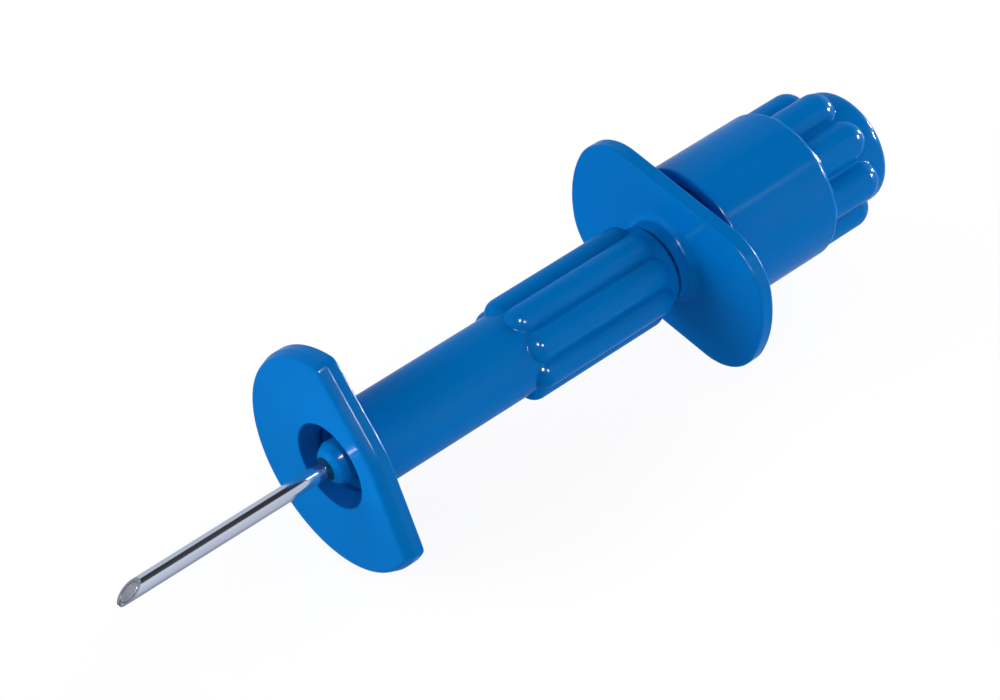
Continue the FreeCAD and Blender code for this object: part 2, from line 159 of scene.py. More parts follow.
# The cap: its skirt, its ribbed knob and its domed end
CAP_RADIUS = CAP_HIGH[1]
CAP_LENGTH = 14.05
CAP_ROUND = 0.8
CAP_RIM_ROUND = 0.25
CAP_BORE = 7.0
CAP_ROOF = 1.6
CAP_BEVEL = 0.1
SPIGOT_BORE = 2.02
KNOB_RADIUS = 6.5
KNOB_END_ROUND = 1.2
KNOB_DOME = 0.3
KNOB_RIB_RADIUS = 2.3
KNOB_RIB_CIRCLE = 5.95
KNOB_RIB_LENGTH = 7.55
KNOB_RIB_TURN = np.radians(31)
KNOB_CREASE = 0.15
KNOB_LEAD = 0.05       # from the shoulder's round to the flat's rings, and from the flat to the knob's
KNOB_BALL_LEAD = 0.06  # from the ribs' straight part to the rings of their ball ends
KNOB_STAND = 0.1       # from the knob's side out to the flat's last ring
SHOULDER_GAP = 0.001   # how far ahead of the cap's back the flat's rings lie
DOME_EYE = 0.2         # the radius of the last ring round the dome's middle

# The hub: its nose of two cones, its throat and its threaded stem
NOSE_FRONT_RADIUS = 1.2
NOSE_BASE_RADIUS = 2.34
NOSE_LENGTH = 1.34
NOSE_STEEP = 1.3       # how much the front cone's radius grows in a millimetre
NOSE_SHALLOW = 0.523   # and the rear cone's
NOSE_CREASE = 0.12
NOSE_LIP = 0.05
NOSE_MOUTH = 0.03
THROAT_LENGTH = 2.2
THREAD_PITCH = 2.5
THREAD_DEPTH = 0.32
THREAD_ROWS = 14       # rings in each turn of the thread
THREAD_FLATNESS = 1.6  # how much the wave is raised before its crest and root are cut flat
THREAD_RUN_IN = 2.0    # how far the thread takes to reach its full height
THREAD_STOP = 8.0      # how far before the stem's end the thread stops
THREAD_LEAD = 0.2
STEM_EDGE = 0.1


def angles(columns=COLUMNS):
    """Angles round the axis, from Y towards Z, one for each column."""
    return np.arange(columns) * TURN / columns


def ring(station, radius, columns=COLUMNS):
    """A ring of points: x is the station, y and z are the radius times cosine and sine."""
    turn = angles(columns)
    station = np.broadcast_to(station, turn.shape)
    return np.stack([station, radius * np.cos(turn), radius * np.sin(turn)], axis=-1)


def rings(stations, radii, columns=COLUMNS):
    """Rows of rings: a profile of stations and radii turned round the axis."""
    turn = angles(columns)[None, :]
    stations = np.asarray(stations, float)
    radii = np.asarray(radii, float)
    if radii.ndim == 1:
        radii = radii[:, None]
    x = np.broadcast_to(stations[:, None], (len(stations), columns))
    return np.stack([x, radii * np.cos(turn), radii * np.sin(turn)], axis=-1)


def quarter(centre_x, centre_r, radius, start, end, steps=7):
    """A bend of a profile: x = centre + radius cos a, r = centre + radius sin a, in degrees."""
    bend = np.radians(np.linspace(start, end, steps))
    return centre_x + radius * np.cos(bend), centre_r + radius * np.sin(bend)


def smooth_larger(first, second, blend):
    """The larger of two heights, with the crease between them rounded over the blend."""
    return (first + second + np.sqrt((first - second) ** 2 + blend ** 2)) / 2


def smooth_smaller(first, second, blend):
    """The smaller of two heights, with the crease between them rounded over the blend."""
    return (first + second - np.sqrt((first - second) ** 2 + blend ** 2)) / 2


def make_mesh(name, rows, close_rows=False, start_pole=None, end_pole=None):
    """Put a grid of points, rows by columns, into a mesh whose columns run round the axis."""
    count, columns = rows.shape[:2]
    points = rows.reshape(-1, 3)
    lower = np.arange(count if close_rows else count - 1)[:, None]
    upper = (lower + 1) % count
    column = np.arange(columns)[None, :]
    following = (column + 1) % columns
    quads = np.stack([
        lower * columns + column,
        lower * columns + following,
        upper * columns + following,
        upper * columns + column,
    ], axis=-1).reshape(-1, 4)
    fans = []
    around = np.arange(columns)
    onward = (around + 1) % columns
    if start_pole is not None:
        fans.append(np.stack([np.full(columns, len(points)), onward, around], axis=-1))
        points = np.vstack([points, start_pole])
    if end_pole is not None:
        last = (count - 1) * columns
        fans.append(np.stack([np.full(columns, len(points)), last + around, last + onward], axis=-1))
        points = np.vstack([points, end_pole])
    triangles = np.vstack(fans) if fans else np.zeros((0, 3), int)
    corners = points[quads]
    pieces = np.cross(corners[:, 1], corners[:, 2]) + np.cross(corners[:, 2], corners[:, 3])
    volume = np.einsum("ij,ij->", corners[:, 0], pieces)
    fan_corners = points[triangles]
    volume += np.einsum("ij,ij->", fan_corners[:, 0], np.cross(fan_corners[:, 1], fan_corners[:, 2]))
    if volume < 0:
        quads = quads[:, ::-1]
        triangles = triangles[:, ::-1]
    mesh = bpy.data.meshes.new(name)
    mesh.vertices.add(len(points))
    mesh.vertices.foreach_set("co", (points * MM).astype(np.float32).ravel())
    loops = np.concatenate([quads.ravel(), triangles.ravel()]).astype(np.int32)
    sizes = np.concatenate([np.full(len(quads), 4), np.full(len(triangles), 3)]).astype(np.int32)
    mesh.loops.add(len(loops))
    mesh.loops.foreach_set("vertex_index", loops)
    mesh.polygons.add(len(sizes))
    mesh.polygons.foreach_set("loop_start", np.concatenate([[0], np.cumsum(sizes)[:-1]]).astype(np.int32))
    mesh.polygons.foreach_set("loop_total", sizes)
    mesh.update(calc_edges=True)
    mesh.validate()
    mesh.shade_smooth()
    mesh.set_sharp_from_angle(angle=SHARP_ANGLE)
    return mesh


def make_piece(name, rows, body, material, slot, nodes, **closing):
    """Make one finished piece, which rides on a body and stands for some of its nodes."""
    piece = bpy.data.objects.new(name, make_mesh(name, rows, **closing))
    bpy.context.scene.collection.objects.link(piece)
    piece.data.materials.append(material)
    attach(piece, body)
    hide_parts(*nodes)


def plate_radius(turn, radius, flat, corner, flats):
    """The outline of a round plate with flats, as a distance from the axis at each angle.

    The rim is a circle, a flat is its distance over the cosine, and a corner is the far
    crossing of the ray with the corner's circle, which touches both.
    """
    half_width = np.sqrt((radius - corner) ** 2 - (flat - corner) ** 2)
    corner_start = np.arctan2(half_width, flat)
    corner_end = np.arctan2(half_width, flat - corner)
    if flats == 2:
        turn = (turn + np.pi / 2) % np.pi - np.pi / 2
    else:
        turn = (turn + np.pi) % TURN - np.pi
    off = np.abs(turn)
    along = (flat - corner) * np.cos(off) + half_width * np.sin(off)
    span = (flat - corner) ** 2 + half_width ** 2
    bend = along + np.sqrt(np.maximum(corner ** 2 - span + along ** 2, 0))
    straight = flat / np.maximum(np.cos(off), 0.1)
    return np.where(off < corner_start, straight, np.where(off < corner_end, bend, radius))


def skin_outline():
    """The skin flange's outline: the round plate with its flat, and a second flat that follows it."""
    turn = angles()
    distance = plate_radius(turn - SKIN_FLAT_TURN, SKIN_RADIUS, SKIN_FLAT, SKIN_CORNER, 1)
    facing = np.maximum(np.cos(turn - SKIN_SECOND_FLAT_TURN), 0.1)
    return smooth_smaller(distance, SKIN_SECOND_FLAT / facing, SKIN_FLAT_CREASE)


def round_edge(radius):
    """A rounded edge, from the face to the rim: how far behind the face and within the rim each point is."""
    bend = np.radians(np.linspace(0, 90, 9))
    return radius * (1 - np.cos(bend)), radius * (1 - np.sin(bend))


def drafted_edge():
    """The skin flange's front edge: a round, a straight draft and a tight ridge before the rim."""
    bend = np.linspace(0, np.pi / 2 - SKIN_DRAFT, 9)
    behind = SKIN_FRONT_ROUND * (1 - np.cos(bend))
    risen = SKIN_FRONT_ROUND * np.sin(bend)
    ridge = np.linspace(SKIN_DRAFT, 0, 6)
    ridge_start = SKIN_DRAFT_END - SKIN_RIDGE_ROUND * np.sin(SKIN_DRAFT)
    top = risen[-1] + (ridge_start - behind[-1]) * np.tan(SKIN_DRAFT)
    ridge_behind = SKIN_DRAFT_END - SKIN_RIDGE_ROUND * np.sin(ridge)
    ridge_risen = top + SKIN_RIDGE_ROUND * (np.cos(ridge) - np.cos(SKIN_DRAFT))
    behind = np.concatenate([behind, ridge_behind])
    risen = np.concatenate([risen, ridge_risen])
    return behind, risen[-1] - risen


def plate_rings(front, thickness, inner_front, inner_back, distance, front_edge, back_edge):
    """Rings over a plate: front face, shaped rim and back face.

    The rim's points stand on the outline and move inwards along its normal, as the edges say.
    """
    turn = angles()
    rim = np.stack([distance * np.cos(turn), distance * np.sin(turn)], axis=-1)
    tangent = np.roll(rim, -1, axis=0) - np.roll(rim, 1, axis=0)
    normal = np.stack([tangent[:, 1], -tangent[:, 0]], axis=-1)
    normal /= np.linalg.norm(normal, axis=1)[:, None]
    direction = np.stack([np.cos(turn), np.sin(turn)], axis=-1)
    back = front + thickness

    def at(station, inset):
        points = rim - inset * normal
        return np.column_stack([np.full(len(points), station), points])

    def face(station, inner, inset, towards_rim):
        inside = inner * direction
        edge = rim - inset * normal
        shares = np.array([0, 0.01, 0.25, 0.5, 0.75, 0.99])
        if not towards_rim:
            shares = shares[::-1]
        across = inside[None] + shares[:, None, None] * (edge - inside)[None]
        return np.concatenate([np.full(across.shape[:2] + (1,), station), across], axis=-1)

    front_rings = [at(front + behind, inset) for behind, inset in zip(*front_edge)]
    back_rings = [at(back - behind, inset) for behind, inset in zip(*back_edge)]
    return np.concatenate([
        face(front, inner_front, front_edge[1][0], True),
        np.stack(front_rings),
        np.stack([at(front + front_edge[0][-1] + EASE, 0), at(back - back_edge[0][-1] - EASE, 0)]),
        np.stack(back_rings[::-1]),
        face(back, inner_back, back_edge[1][0], False),
    ])


def ribbed_radius(stations, base, phase, circle, radius, start, end, blend, open_start=False):
    """A shaft with round ribs: the larger of the base and each rib's circle, at every angle.

    A rib is a rod whose centre runs at the rib circle, with ball ends: near an end its
    radius is the root of its square less the square of the way past the ball's centre.
    """
    turn = angles()[None, :]
    x = np.asarray(stations, float)[:, None]
    past = np.maximum(x - (end - radius), 0)
    if not open_start:
        past = np.maximum(past, (start + radius) - x)
    here = radius ** 2 - past ** 2
    spacing = TURN / RIB_COUNT
    off = (turn - phase + spacing / 2) % spacing - spacing / 2
    inside = here - (circle * np.sin(off)) ** 2
    rib = circle * np.cos(off) + np.sqrt(np.maximum(inside, 0))
    rib = np.where(inside > 0, rib, 0)
    base = np.asarray(base, float)[:, None] * np.ones_like(turn)
    return np.where(rib > 0, smooth_larger(base, rib, blend) - blend * CREASE_DROP, base)


def guard_surface():
    """Skin flange, barrel and fluted grip as one closed surface, from the bore out and round.

    The radius over the station is a straight cone in the mouth, the plate's rings, a
    quarter circle at the barrel's root, the barrel, and the larger of barrel and ribs.
    """
    length = GUARD_HIGH[0]
    bore_x = [POCKET_FRONT] + [MOUTH_DEPTH + step for step in BORE_STEPS]
    flare_x = np.linspace(MOUTH_DEPTH - MOUTH_EASE, MOUTH_ROUND + MOUTH_EASE, 6)
    flare_r = GUARD_BORE + (MOUTH_RADIUS - GUARD_BORE) * (1 - flare_x / MOUTH_DEPTH)
    plate = plate_rings(
        0.0, SKIN_THICKNESS, MOUTH_RADIUS + MOUTH_ROUND, BARREL_RADIUS + BARREL_ROOT_ROUND,
        skin_outline(), drafted_edge(), round_edge(SKIN_BACK_ROUND))
    root_x, root_r = quarter(
        SKIN_THICKNESS + BARREL_ROOT_ROUND, BARREL_RADIUS + BARREL_ROOT_ROUND, BARREL_ROOT_ROUND, 180, 270, 7)
    barrel_x = np.linspace(SKIN_THICKNESS + BARREL_ROOT_ROUND + EASE, GRIP_START - GRIP_LEAD, 6)
    rib_start = GRIP_START
    rib_end = length - GRIP_RIB_SETBACK
    grip_x = np.concatenate([
        np.linspace(rib_start - RIB_MARGIN, rib_start + GRIP_RIB_RADIUS, GRIP_END_ROWS),
        np.linspace(
            rib_start + GRIP_RIB_RADIUS + RIB_LEAD, rib_end - GRIP_RIB_RADIUS - RIB_LEAD, RIB_ROWS),
        np.linspace(rib_end - GRIP_RIB_RADIUS, rib_end + RIB_MARGIN, GRIP_END_ROWS),
    ])
    grip_r = ribbed_radius(
        grip_x, np.full(len(grip_x), BARREL_RADIUS), GRIP_RIB_TURN, GRIP_RIB_CIRCLE, GRIP_RIB_RADIUS,
        rib_start, rib_end, GRIP_CREASE)
    end_x, end_r = quarter(length - GUARD_END_ROUND, BARREL_RADIUS - GUARD_END_ROUND, GUARD_END_ROUND, 90, 0)
    return np.concatenate([
        rings(bore_x, np.full(len(bore_x), GUARD_BORE)),
        rings(flare_x, flare_r),
        plate,
        rings(root_x, root_r),
        rings(barrel_x, np.full(len(barrel_x), BARREL_RADIUS)),
        rings(grip_x, grip_r),
        rings(end_x, end_r),
        rings([length, length - EASE, length - GUARD_END_WALL],
              [INSERT_RADIUS + EASE, INSERT_RADIUS, INSERT_RADIUS]),
        rings([POCKET_FRONT, POCKET_FRONT - EASE], [INSERT_RADIUS, INSERT_RADIUS - EASE]),
    ])


def flange_surface():
    """Flared root, winged plate and neck as one closed surface.

    The root's flare is an arc that meets the plate square, and the neck ends in a quarter circle.
    """
    front = FLANGE_LOW[0]
    wing_front = front + BOSS_LENGTH
    wing_back = wing_front + FINGER_THICKNESS
    back = FLANGE_HIGH[0]
    flare_edge = BOSS_RADIUS + BOSS_FLARE_ROUND * np.sin(np.radians(BOSS_FLARE_START))
    flare_x, flare_r = quarter(
        wing_front - BOSS_FLARE_ROUND, flare_edge, BOSS_FLARE_ROUND, -BOSS_FLARE_START, 0, 12)
    root = rings(
        np.concatenate([
            [back - SEAT_DEPTH, front + BOSS_EDGE, front, front, front + BOSS_EDGE, flare_x[0] - EASE],
            flare_x,
        ]),
        np.concatenate([
            [STEM_BORE, STEM_BORE, STEM_BORE + BOSS_EDGE, BOSS_RADIUS - BOSS_EDGE, BOSS_RADIUS, BOSS_RADIUS],
            flare_r,
        ]))
    outline = plate_radius(angles() - np.pi / 2, FINGER_RADIUS, FINGER_FLAT, FINGER_CORNER, 2)
    plate = plate_rings(
        wing_front, FINGER_THICKNESS, flare_edge, NECK_RADIUS,
        outline, round_edge(FINGER_EDGE_ROUND), round_edge(FINGER_EDGE_ROUND))
    edge_x, edge_r = quarter(back - NECK_EDGE_ROUND, NECK_RADIUS - NECK_EDGE_ROUND, NECK_EDGE_ROUND, 90, 0)
    neck = rings(
        np.concatenate([
            [wing_back + EASE, back - NECK_EDGE_ROUND - EASE],
            edge_x,
            [back, back - SEAT_DEPTH],
        ]),
        np.concatenate([[NECK_RADIUS, NECK_RADIUS], edge_r, [NECK_BORE, NECK_BORE]]))
    return np.concatenate([root, plate, neck])


def cap_surface():
    """Skirt, ribbed knob and domed end as one surface, from the roof inside to the end's middle.

    The knob is the larger of its base and its ribs, and the dome falls with the radius squared.
    """
    front = CAP_LOW[0]
    back = front + CAP_LENGTH
    end = CAP_HIGH[0] - KNOB_DOME
    rim_x, rim_r = quarter(front + CAP_RIM_ROUND, CAP_RADIUS - CAP_RIM_ROUND, CAP_RIM_ROUND, 180, 90)
    skirt = rings(
        np.concatenate([[back - CAP_ROOF, back - CAP_ROOF, front + CAP_BEVEL, front], rim_x]),
        np.concatenate([[SPIGOT_BORE, CAP_BORE, CAP_BORE, CAP_BORE + CAP_BEVEL], rim_r]))
    side_x = np.linspace(front + CAP_RIM_ROUND + EASE, back - CAP_ROUND - EASE, 4)
    side = rings(side_x, np.full(len(side_x), CAP_RADIUS))
    rib_end = back + KNOB_RIB_LENGTH
    round_a = np.radians(np.linspace(90, 2, 26))
    shoulder_x = back - CAP_ROUND + CAP_ROUND * np.cos(round_a)
    shoulder_r = CAP_RADIUS - CAP_ROUND + CAP_ROUND * np.sin(round_a)
    flat_r = np.linspace(CAP_RADIUS - CAP_ROUND - KNOB_LEAD, KNOB_RADIUS + KNOB_STAND, 5)
    knob_x = np.concatenate([
        shoulder_x,
        np.full(len(flat_r), back - SHOULDER_GAP),
        np.linspace(back + KNOB_LEAD, rib_end - KNOB_RIB_RADIUS, RIB_ROWS),
        np.linspace(rib_end - KNOB_RIB_RADIUS + KNOB_BALL_LEAD, rib_end + RIB_MARGIN, KNOB_END_ROWS),
    ])
    knob_base = np.concatenate([shoulder_r, flat_r, np.full(RIB_ROWS + KNOB_END_ROWS, KNOB_RADIUS)])
    knob_r = ribbed_radius(
        knob_x, knob_base, KNOB_RIB_TURN, KNOB_RIB_CIRCLE, KNOB_RIB_RADIUS, back, rib_end, KNOB_CREASE,
        open_start=True)
    end_x, end_r = quarter(end - KNOB_END_ROUND, KNOB_RADIUS - KNOB_END_ROUND, KNOB_END_ROUND, 90, 5, 10)
    flat_edge = KNOB_RADIUS - KNOB_END_ROUND
    dome_r = np.linspace(flat_edge, DOME_EYE, 14)
    dome_x = end + KNOB_DOME * (1 - (dome_r / flat_edge) ** 2)
    return np.concatenate([
        skirt,
        side,
        rings(knob_x, knob_r),
        rings(end_x, end_r),
        rings(dome_x, dome_r),
    ])


def bevel_station(radius, turn):
    """Where the slanted plane cuts a rod: the plane rises from the tip's land to the heel."""
    height = radius * np.cos(turn - BEVEL_TURN)
    low = -(NEEDLE_RADIUS - TIP_LAND)
    slope = (2 * NEEDLE_RADIUS - TIP_LAND) / BEVEL_LENGTH
    return TIP + np.maximum(height - low, 0) / slope


def cannula_surface():
    """The tube: its outside with the anchor band, the slanted ring of its cut end, and its bore.

    Each ring stands a share of the way from the slanted plane to the straight end.
    """
    columns = 128
    turn = angles(columns)
    start_out = bevel_station(NEEDLE_RADIUS, turn)
    start_in = bevel_station(NEEDLE_BORE, turn)
    back = CANNULA_HIGH[0]
    front = HUB_LOW[0] - ANCHOR_STAND
    band_end = front + ANCHOR_LENGTH
    shank = rings(
        [back, band_end, band_end, front + ANCHOR_EDGE, front, front],
        [NEEDLE_RADIUS, NEEDLE_RADIUS, ANCHOR_RADIUS, ANCHOR_RADIUS, ANCHOR_RADIUS - ANCHOR_EDGE,
         NEEDLE_RADIUS],
        columns)
    shares = np.concatenate([[0, 0.002], np.linspace(0.05, 0.999, 20)])
    bare = [ring(start_out + s * (front - start_out), NEEDLE_RADIUS, columns) for s in shares[::-1]]
    cut_radius = NEEDLE_RADIUS - CUT_EDGE
    cut = [ring(bevel_station(cut_radius, turn), cut_radius, columns)]
    inside = [ring(start_in + s * (back - start_in), NEEDLE_BORE, columns) for s in [0, 0.0006, 0.3, 1]]
    return np.concatenate([shank, np.stack(bare + cut + inside)])


def stylet_surface():
    """The rod: its slanted end lies in the cannula's own plane, and its rings straighten behind it."""
    columns = 96
    turn = angles(columns)
    start = bevel_station(STYLET_RADIUS, turn)
    shares = np.concatenate([[0, 0.0005], np.linspace(0.02, 1, 24)])
    back = STYLET_HIGH[0]
    outside = [ring(start + s * (back - start), STYLET_RADIUS, columns) for s in shares]
    radii = STYLET_RADIUS * np.array([0.05, 0.3, 0.6, 0.85, 0.98])
    end = [ring(bevel_station(radius, turn), radius, columns) for radius in radii]
    return np.stack(end + outside)


def hub_surface():
    """Nose and threaded stem as one closed surface.

    The nose is two cones that run into each other. The thread's height follows a wave of
    the station less the pitch times the turn, cut flat at its crest and root.
    """
    columns = 256
    front = HUB_LOW[0]
    back = HUB_HIGH[0]
    hole = NEEDLE_RADIUS + HOLE_GAP
    wide_hole = ANCHOR_RADIUS + HOLE_GAP
    hole_end = front - ANCHOR_STAND + ANCHOR_LENGTH + HOLE_GAP
    swell = np.linspace(0, 1, 16)
    nose_x = front + NOSE_LENGTH * swell
    steep = NOSE_FRONT_RADIUS + NOSE_STEEP * NOSE_LENGTH * swell
    shallow = NOSE_BASE_RADIUS - NOSE_SHALLOW * NOSE_LENGTH * (1 - swell)
    nose_r = smooth_smaller(steep, shallow, NOSE_CREASE)
    nose_r += (NOSE_FRONT_RADIUS - nose_r[0]) * (1 - swell) ** 4
    lip_x, lip_r = quarter(front + NOSE_LIP, NOSE_FRONT_RADIUS - NOSE_LIP, NOSE_LIP, 180, 120, 5)
    throat_end = front + NOSE_LENGTH + THROAT_LENGTH
    throat_x = [front + NOSE_LENGTH + STEM_EDGE, throat_end - EASE, throat_end]
    throat_r = [NOSE_BASE_RADIUS, NOSE_BASE_RADIUS, NOSE_BASE_RADIUS + EASE]
    thread_x = np.arange(throat_end + HOLE_GAP, back - THREAD_STOP, THREAD_PITCH / THREAD_ROWS)
    turn = angles(columns)[None, :]
    wave = np.sin(TURN * (thread_x[:, None] / THREAD_PITCH - turn / TURN))
    height = np.clip(wave * THREAD_FLATNESS, -1, 1) * 0.5 + 0.5
    fade = np.clip((thread_x - thread_x[0]) / THREAD_RUN_IN, 0, 1)[:, None]
    thread_r = STEM_RADIUS - THREAD_DEPTH + THREAD_DEPTH * height * fade
    return np.concatenate([
        rings([back, hole_end, hole_end, front + NOSE_MOUTH, front],
              [hole, hole, wide_hole, wide_hole, wide_hole + HOLE_GAP], columns),
        rings(lip_x, lip_r, columns),
        rings(nose_x[1:], nose_r[1:], columns),
        rings(throat_x, throat_r, columns),
        rings(thread_x, thread_r, columns),
        rings([thread_x[-1] + THREAD_LEAD, back - STEM_EDGE, back],
              [STEM_RADIUS, STEM_RADIUS, STEM_RADIUS - STEM_EDGE], columns),
    ])


def bond_surface():
    """The ring of cement: a hollow fillet, whose radius grows with a power of the way to the nose."""
    columns = 128
    low = BOND_LOW[0]
    high = BOND_HIGH[0] + BOND_OVERLAP
    inner = NEEDLE_RADIUS + BOND_GAP
    rise = np.linspace(0, 1, 9)
    outer = inner + (BOND_RADIUS - inner) * rise ** BOND_HOLLOW
    stations = low + (high - low) * rise
    return np.concatenate([
        rings(stations[::-1], outer[::-1], columns),
        rings([low, high], [inner, inner], columns),
    ])


def linear(red, green, blue):
    """Turn a screen colour, 0 to 255, into the linear one that a shader takes."""
    share = np.array([red, green, blue]) / 255
    value = np.where(share <= 0.04045, share / 12.92, ((share + 0.055) / 1.055) ** 2.4)
    return (*value, 1.0)


def shader(name):
    """Start a material, and give back its nodes, links and surface shader."""
    material = bpy.data.materials.new(name)
    material.use_nodes = True
    tree = material.node_tree
    return material, tree.nodes, tree.links, tree.nodes["Principled BSDF"]


def grain(nodes, links, scale, detail=3.0, stretch=(1, 1, 1)):
    """Noise on the piece's own coordinates, drawn out by the stretch."""
    place = nodes.new("ShaderNodeTexCoord")
    mapping = nodes.new("ShaderNodeMapping")
    mapping.inputs["Scale"].default_value = stretch
    links.new(place.outputs["Object"], mapping.inputs["Vector"])
    noise = nodes.new("ShaderNodeTexNoise")
    noise.inputs["Scale"].default_value = scale
    noise.inputs["Detail"].default_value = detail
    links.new(mapping.outputs["Vector"], noise.inputs["Vector"])
    return noise.outputs["Fac"]


def ramp(nodes, links, source, start, end, low=0.0, high=1.0, smooth=False):
    """Bring a value that runs from start to end into the range from low to high."""
    span = nodes.new("ShaderNodeMapRange")
    if smooth:
        span.interpolation_type = "SMOOTHSTEP"
    span.inputs["From Min"].default_value = start
    span.inputs["From Max"].default_value = end
    span.inputs["To Min"].default_value = low
    span.inputs["To Max"].default_value = high
    links.new(source, span.inputs["Value"])
    return span.outputs["Result"]


def worked(nodes, links, operation, first, second=None):
    """One step of arithmetic between numbers and sockets."""
    step = nodes.new("ShaderNodeMath")
    step.operation = operation
    for socket, value in zip(step.inputs, (first, second)):
        if isinstance(value, float):
            socket.default_value = value
        elif value is not None:
            links.new(value, socket)
    return step.outputs["Value"]


def spread(nodes, links, source, low, high):
    """Bring noise into a range."""
    return ramp(nodes, links, source, *NOISE_SPAN, low, high)


def tinted(nodes, links, source, first, second):
    """Mix two colours by noise."""
    mix = nodes.new("ShaderNodeMix")
    mix.data_type = "RGBA"
    mix.inputs["A"].default_value = first
    mix.inputs["B"].default_value = second
    links.new(source, mix.inputs["Factor"])
    return mix.outputs["Result"]


def bumped(nodes, links, source, surface, strength, distance):
    """Press a pattern into the surface's normal."""
    bump = nodes.new("ShaderNodeBump")
    bump.inputs["Strength"].default_value = strength
    bump.inputs["Distance"].default_value = distance
    links.new(source, bump.inputs["Height"])
    links.new(bump.outputs["Normal"], surface.inputs["Normal"])


def paint_mouth_shade(nodes, links, colour):
    """Darken the colour inside the guard's mouth with painted shade, where the recess falls dark: below the
    face, before the barrel, within the rim.
    """
    place = nodes.new("ShaderNodeTexCoord")
    parts = nodes.new("ShaderNodeSeparateXYZ")
    links.new(place.outputs["Object"], parts.inputs["Vector"])
    across = nodes.new("ShaderNodeCombineXYZ")
    links.new(parts.outputs["Y"], across.inputs["Y"])
    links.new(parts.outputs["Z"], across.inputs["Z"])
    length = nodes.new("ShaderNodeVectorMath")
    length.operation = "LENGTH"
    links.new(across.outputs["Vector"], length.inputs[0])
    outside, inside = [(MOUTH_RADIUS + way) * MM for way in PAINTED_SHADE_RIM]
    within = ramp(nodes, links, length.outputs["Value"], outside, inside)
    top, bottom = [way * MM for way in PAINTED_SHADE_TOP]
    below = ramp(nodes, links, parts.outputs["X"], top, bottom)
    barrel, plate = [(SKIN_THICKNESS - way) * MM for way in PAINTED_SHADE_END]
    before = ramp(nodes, links, parts.outputs["X"], barrel, plate)
    mouth = worked(nodes, links, "MULTIPLY", below, before)
    both = worked(nodes, links, "MULTIPLY", within, mouth)
    mix = nodes.new("ShaderNodeMix")
    mix.data_type = "RGBA"
    mix.blend_type = "MULTIPLY"
    mix.inputs["B"].default_value = MOUTH_PAINTED_SHADE
    links.new(both, mix.inputs["Factor"])
    links.new(colour, mix.inputs["A"])
    return mix.outputs["Result"]


def moulded(name, first, second, roughness=(0.16, 0.24), ior=1.4, painted_mouth_shade=False):
    """Moulded gloss plastic: faint clouds in the colour, a soft ripple, a little gloss change, and on request
    painted shade inside the guard's mouth.
    """
    material, nodes, links, surface = shader(name)
    clouds = grain(nodes, links, CLOUD_SCALE, 2)
    colour = tinted(nodes, links, clouds, linear(*first), linear(*second))
    # Painted shade: the colour darkens inside the guard's mouth, where the recess falls dark.
    if painted_mouth_shade:
        colour = paint_mouth_shade(nodes, links, colour)
    links.new(colour, surface.inputs["Base Color"])
    haze = grain(nodes, links, HAZE_SCALE, 4)
    links.new(spread(nodes, links, haze, *roughness), surface.inputs["Roughness"])
    ripple = grain(nodes, links, RIPPLE_SCALE, 2)
    bumped(nodes, links, ripple, surface, *RIPPLE)
    surface.inputs["IOR"].default_value = ior
    return material


def steel(name, tone, roughness, stretch):
    """Ground or polished steel: fine lines drawn out along one direction."""
    material, nodes, links, surface = shader(name)
    lines = grain(nodes, links, LINE_SCALE, 4, stretch)
    low = linear(*[value * LINE_TONE for value in tone])
    links.new(tinted(nodes, links, lines, low, linear(*tone)), surface.inputs["Base Color"])
    links.new(spread(nodes, links, lines, *roughness), surface.inputs["Roughness"])
    bumped(nodes, links, lines, surface, *LINES)
    surface.inputs["Metallic"].default_value = 1.0
    return material


NOISE_SPAN = (0.3, 0.7)

# The grain of the finishes, in cells for each metre, and how strongly and how deep in metres it shows
CLOUD_SCALE = 90
HAZE_SCALE = 400
RIPPLE_SCALE = 220
RIPPLE = (0.06, 0.0001)
LINE_SCALE = 900
LINES = (0.04, 0.00002)
LINE_TONE = 0.93       # how dark the steel's fine lines are beside its own tone

# The painted shade inside the mouth, and where it sets in, in millimetres: about the rim, below the face,
# before the barrel
MOUTH_PAINTED_SHADE = (1, 0.36, 0.5, 1)
PAINTED_SHADE_RIM = (0.02, -0.05)
PAINTED_SHADE_TOP = (0.02, 0.12)
PAINTED_SHADE_END = (0.05, 0.15)

BLUE = moulded("moulded_blue", (0, 104, 180), (0, 108, 184), (0.11, 0.17), 1.12)
# The guard's blue has painted shade that darkens its mouth.
GUARD_BLUE_PAINTED_SHADE = moulded("guard_blue_painted_shade", (0, 104, 180), (0, 108, 184), (0.11, 0.17), 1.12, True)
NEEDLE_STEEL = steel("needle_steel", (234, 235, 237), (0.10, 0.16), (0.03, 1, 1))
STYLET_STEEL = steel("stylet_steel", (206, 208, 211), (0.22, 0.32), (0.3, 1, 1))
# The cement is real, but its dark navy tone is painted shade where the needle enters the nose in the dark
# mouth.
CEMENT_PAINTED_SHADE = moulded("clear_cement", (4, 44, 80), (8, 54, 94), (0.1, 0.16), 1.15)
SOCKET = moulded("socket_plastic", (214, 224, 228), (224, 232, 236))
INSERT = moulded("insert_plastic", (214, 216, 220), (222, 224, 228), (0.35, 0.45))
RUBBER = moulded("ring_rubber", (18, 18, 20), (28, 28, 30), (0.5, 0.65))
BRASS = steel("collar_brass", (212, 176, 96), (0.25, 0.35), (1, 0.1, 0.1))


def dress_node(node, material):
    """Give a carried node its finish."""
    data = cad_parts[node].data
    data.materials.clear()
    data.materials.append(material)


